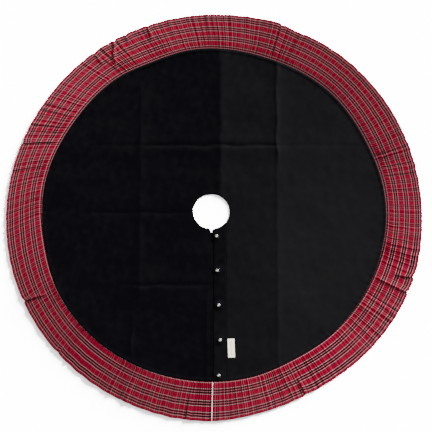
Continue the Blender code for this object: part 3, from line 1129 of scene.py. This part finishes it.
def thread(name, colour):
    """Spun sewing thread, with flecks of a lighter colour where the twist catches the light."""
    spun = Finish(name, {"Roughness": 0.6})
    twist = spun.noise(spun.place(), 1500.0, detail=1.0).step(0.35, 0.65)
    lighter = tuple(min(1.0, c * 1.6) for c in colour)
    spun.feed(spun.shader, {"Base Color": spun.blend(twist, colour, lighter)})
    spun.bump(twist, 0.1 * MM, 0.5)
    return spun


row_top, row_bottom = band_high.y - EDGE_IN, band_low.y + EDGE_IN
band_stitches = stitch_line(
    "placket_stitching", band_high.x - EDGE_IN, row_top, row_bottom, band_height
)
dress(band_stitches, thread("black_thread", (0.008, 0.008, 0.009)))
print("stitched the band down")

# %% [markdown]
# ## The snaps
# A press snap is four small turned parts in bright plate. The caps are what shows, so each is turned again
# here with a rolled rim and a low dome. The sockets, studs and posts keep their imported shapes, and only get
# the metal finish. Plate this bright is never even: handling leaves it slightly clouded.

# %% Snaps
CAP_RADIUS = 0.80 * (snap_boxes[0][1].x - snap_boxes[0][0].x) / 2
# shares of the way out and up, from the top of the dome to the middle underneath
CAP_PROFILE = (
    (0.0, 1.0), (0.30, 0.98), (0.52, 0.90), (0.66, 0.76), (0.72, 0.66), (0.76, 0.66), (0.82, 0.74),
    (0.90, 0.74), (0.97, 0.60), (1.0, 0.36), (0.98, 0.10), (0.93, 0.0), (0.0, 0.0),
)
CAP_STEPS = 40


def plate():
    metal = Finish("bright_plate", {"Metallic": 1.0})
    cloud = metal.noise(metal.place(), 260.0)
    colour = metal.blend(cloud, (0.72, 0.71, 0.69), (0.90, 0.89, 0.87))
    metal.feed(metal.shader, {"Base Color": colour, "Roughness": 0.16 + cloud * 0.22})
    metal.bump(metal.noise(metal.place(), 2600.0, detail=1.0), 0.05 * MM, 0.25)
    return metal


def snap_cap(name, place, top):
    """A turned cap over its packed one: flat skirt, rolled rim, shallow groove, low dome."""
    base = band_high.z + 0.1 * MM
    points = [(out * CAP_RADIUS, 0, base + up * (top - base)) for out, up in CAP_PROFILE]
    mesh = bpy.data.meshes.new(name)
    mesh.from_pydata(points, [(i, i + 1) for i in range(len(points) - 1)], [])
    cap = shown(name, mesh)
    cap.location = (place.x, place.y, 0)
    turn = cap.modifiers.new("turn", "SCREW")
    turn.steps = turn.render_steps = CAP_STEPS
    turn.use_merge_vertices = True
    turn.merge_threshold = 0.01 * MM
    round_off = cap.modifiers.new("round_off", "SUBSURF")
    round_off.levels = round_off.render_levels = 1
    settle_shape(cap)
    face_outwards(cap.data)
    return cap


bright_plate = plate()
for number, (place, (_, high)) in enumerate(zip(snap_places, snap_boxes), 1):
    cap = dress(snap_cap(f"snap_cap_face_{number}", place, high.z), bright_plate)
    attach(cap, "corner")
    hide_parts(f"snap_cap_{number}")
    for part in ("socket", "stud", "post"):
        dress(frame["nodes"][f"snap_{part}_{number}"], bright_plate)
print("snaps plated")

# %% [markdown]
# ## The label
# A woven label is sewn to the velvet beside the band. It is cream ribbon with a soft edge and a column of
# small diamonds in tan, a plain motif that stands in for any wording. The ribbon also glows very slightly in
# its own colour, painted light that makes it brighter than the lamps alone would.

# %% Label
label_low, label_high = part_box("woven_label")
label_centre = (label_low + label_high) / 2 + Vector((-5 * MM, 1.3 * MM, 0))
LABEL_WIDTH, LABEL_LENGTH = 19.5 * MM, 54.5 * MM
LABEL_CLOTH = 0.35 * MM
LABEL_TURN = math.radians(2)
# painted light: how strongly the ribbon glows in its own colour
PAINTED_GLOW = 1.9
RIBBON_PITCH = 0.8 * MM
DIAMOND_PITCH = 7.5 * MM
DIAMOND_REACH = 3.4 * MM
MOTIF_REACH = 22 * MM
CREAM_DARK, CREAM_LIGHT = (0.86, 0.78, 0.55), (0.97, 0.91, 0.70)
TAN, EDGING = (0.36, 0.29, 0.19), (0.58, 0.50, 0.34)


def label_sheet():
    across = np.linspace(-0.5, 0.5, 25)[None, :]
    down = np.linspace(0.5, -0.5, 59)[:, None]
    x = across * LABEL_WIDTH + 0 * down
    y = down * LABEL_LENGTH + 0 * across
    turned_x = label_centre[0] + x * math.cos(LABEL_TURN) - y * math.sin(LABEL_TURN)
    turned_y = label_centre[1] + x * math.sin(LABEL_TURN) + y * math.cos(LABEL_TURN)
    sewn = smooth_step(np.abs(down), 0.42, 0.5) + 0 * across
    buckle = 0.45 * MM * np.cos(np.pi * down) * (0.7 + 0.6 * across) + 0.12 * MM * ripple(y, 0.02, 81)
    height = velvet_height(turned_x, turned_y) + 0.75 * MM + buckle * (1 - sewn) - 0.1 * MM * sewn
    points = np.stack([turned_x, turned_y, height], axis=-1)
    return thicken(cloth_grid("label_ribbon", points, np.stack([x, y], axis=-1)), LABEL_CLOTH)


def ribbon():
    gloss = {"Sheen Weight": 0.1, "Sheen Roughness": 0.4, "Roughness": 0.55}
    weave = Finish("label_ribbon", {**gloss, "Emission Strength": PAINTED_GLOW})
    threads, across, down = weave.threads()
    pitch = 2 * math.pi / RIBBON_PITCH
    grain = (across * pitch).calc("SINE") * 0.5 + (down * pitch).calc("SINE") * 0.5
    in_tile = (down / DIAMOND_PITCH).calc("FRACT") - 0.5
    out = in_tile.calc("ABSOLUTE") * 2.4 + across.calc("ABSOLUTE") / DIAMOND_REACH
    inner = 1 - (down.calc("ABSOLUTE") / MOTIF_REACH).step(0.97, 1.0)
    edging = (across.calc("ABSOLUTE") / (LABEL_WIDTH / 2)).step(0.86, 0.9)
    motif = (1 - out.step(0.82, 1.0)) * out.step(0.35, 0.5) * inner
    plain = weave.blend(grain * 0.2 + weave.noise(threads, 90.0), CREAM_DARK, CREAM_LIGHT)
    woven = weave.blend(edging * 0.25, weave.blend(motif * 0.9, plain, TAN), EDGING)
    # the ribbon's colour also glows, as painted light
    weave.feed(weave.shader, {"Base Color": woven, "Emission Color": woven})
    weave.bump(grain + motif * 1.5, 0.12 * MM, 0.5)
    return weave


label = dress(label_sheet(), ribbon())
print("label sewn on at", tuple(round(c, 3) for c in label_centre))

# %% [markdown]
# ## Who moves with whom
# The band, the caps and the label go with the corner, and the under strip with the skirt. The velvet, the
# lining and the ruffle would have to bend between the two across the fold line. Their main parts go with the
# skirt, and their parts beside the slit only have their places baked into their points.

# %% Ride, and bake the parts that would bend
fold_axis = Vector(hinge["axis"]).normalized()
fold_out = fold_axis.cross(Vector((0, 0, 1)))
if fold_out.x > 0:
    fold_out = -fold_out


def settle(piece, body, slot, *nodes):
    """The piece rides on a body, or has its place baked into its points when body is both, and the nodes it
    stands for are hidden. slot is not used.
    """
    if body == "both":
        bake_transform(piece)
    else:
        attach(piece, body)
    if nodes:
        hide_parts(*nodes)


settle(velvet_main, "skirt", "velvet", "velvet_main")
settle(velvet_corner, "both", "velvet", "velvet_corner")
settle(lining_main, "skirt", "lining", "lining_main")
settle(lining_corner, "both", "lining", "lining_corner")
for node, (piece, _) in lengths.items():
    settle(piece, "both" if node == "ruffle_corner" else "skirt", "tartan", node)
settle(under_strip, "skirt", "velvet", "under_placket")
settle(band, "corner", "velvet", "top_placket")
settle(band_stitches, "corner", "velvet")
settle(label, "corner", "label", "woven_label")
print("fold line runs out along", tuple(round(c, 3) for c in fold_axis))

# %% [markdown]
# Each velvet and lining part is listed below with its width across, its share of the disc and what it lies on,
# and the list is put to no further use.
# The velvet and the lining are cut from a disc, three quarters of it in one part and one in the other.

# %% Cut sizes
DISC_AREA = math.pi * (SEAM**2 - HOLE**2)
disc_across = 2 * SEAM + 20 * MM
QUARTER_ACROSS = 0.51
for piece, across, share, under in (
    (velvet_main, disc_across, 0.75, lining_main),
    (velvet_corner, QUARTER_ACROSS, 0.24, lining_corner),
    (lining_main, disc_across, 0.75, "floor"),
    (lining_corner, QUARTER_ACROSS, 0.24, "floor"),
):
    DISC_AREA * share
print("disc area", round(DISC_AREA, 3), "square metres")
